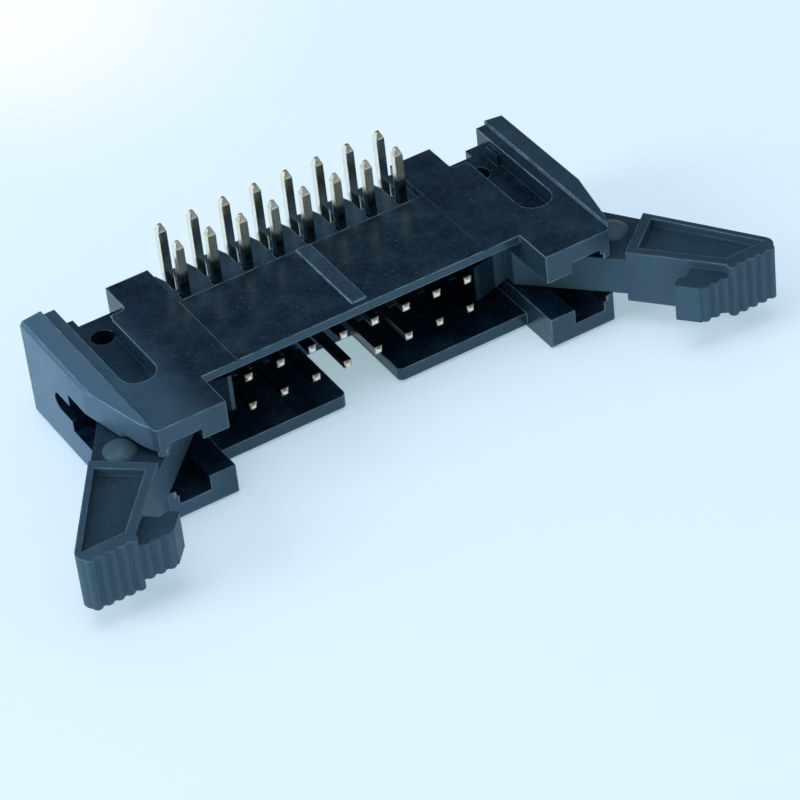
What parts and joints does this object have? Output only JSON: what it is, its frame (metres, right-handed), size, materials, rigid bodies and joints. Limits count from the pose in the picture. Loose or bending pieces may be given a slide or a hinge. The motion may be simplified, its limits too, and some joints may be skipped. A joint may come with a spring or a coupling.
{
  "type": "idc box header",
  "caption": "Right-angle shrouded header for flat ribbon cable, with a keying gap, square contacts bent up into solder tails, and a hinged ejector lever at each end.",
  "frame": {"origin": "middle of the board seat, which is the top of the raised bar, straight above the tips of the mating contacts", "axes": "+X along the contact rows, -Y out of the mating cavity, +Z towards the circuit board, so the solder tails point up"},
  "size_m": [0.0552, 0.0237, 0.0121],
  "materials": {
    "housing": "fine matt moulded black",
    "lever": "fine matt moulded black",
    "contact": "bright pale plating"
  },
  "bodies": {
    "header": {"housing": "housing", "contact_near_1": "contact", "contact_near_2": "contact", "contact_near_3": "contact", "contact_near_4": "contact", "contact_near_5": "contact", "contact_near_6": "contact", "contact_near_7": "contact", "contact_near_8": "contact", "contact_far_1": "contact", "contact_far_2": "contact", "contact_far_3": "contact", "contact_far_4": "contact", "contact_far_5": "contact", "contact_far_6": "contact", "contact_far_7": "contact", "contact_far_8": "contact"},
    "lever_left": {"lever_left": "lever"},
    "lever_right": {"lever_right": "lever"}
  },
  "joints": [
    {"name": "lever_left_hinge", "type": "hinge", "parent": "header", "child": "lever_left", "pos_m": [-0.01605, 0.00245, -0.00404], "axis": [0, 0, 1], "range_deg": [0, 40.4]},
    {"name": "lever_right_hinge", "type": "hinge", "parent": "header", "child": "lever_right", "pos_m": [0.01605, 0.00245, -0.00404], "axis": [0, 0, -1], "range_deg": [0, 40.4]}
  ]
}
